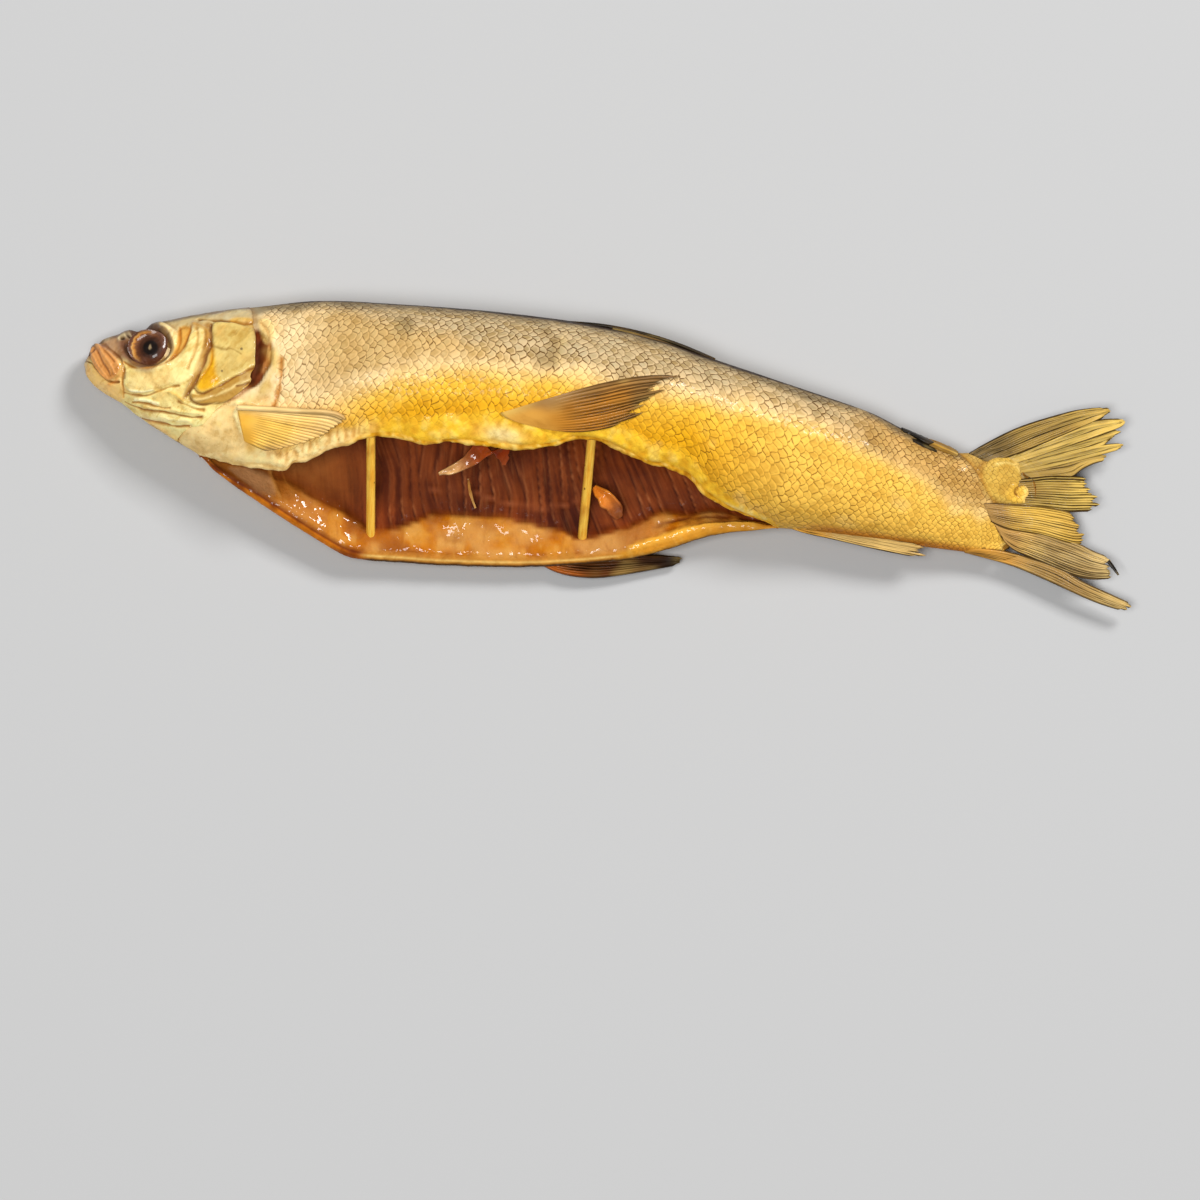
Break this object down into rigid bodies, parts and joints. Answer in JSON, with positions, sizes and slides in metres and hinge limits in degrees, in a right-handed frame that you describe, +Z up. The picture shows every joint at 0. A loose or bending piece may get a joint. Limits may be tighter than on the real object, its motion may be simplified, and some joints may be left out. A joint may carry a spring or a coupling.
{
  "type": "smoked fish",
  "caption": "Whole smoked whitefish lying on its side, gutted, with the slit belly propped open by wooden sticks to show the lining.",
  "frame": {"origin": "on the ground under the middle of the fish's outline", "axes": "+X from the nose to the tail, +Y from the belly to the back, +Z up from the ground, so that the left flank faces up"},
  "size_m": [0.344, 0.0862, 0.0417],
  "materials": {
    "smoked_skin": "smooth scaled smoked skin, golden below and grey-cream along the back, semi-gloss",
    "belly_lining": "wet, glossy red-brown smoked flesh and fat",
    "fin_membrane": "dry, ribbed, slightly glossy fin",
    "eye": "clear glossy eye, dark brown with an amber ring",
    "stick_wood": "plain smoked wood, matt"
  },
  "bodies": {
    "root": {"fish": "smoked_skin", "front_stick": "stick_wood", "rear_stick": "stick_wood"}
  },
  "joints": []
}
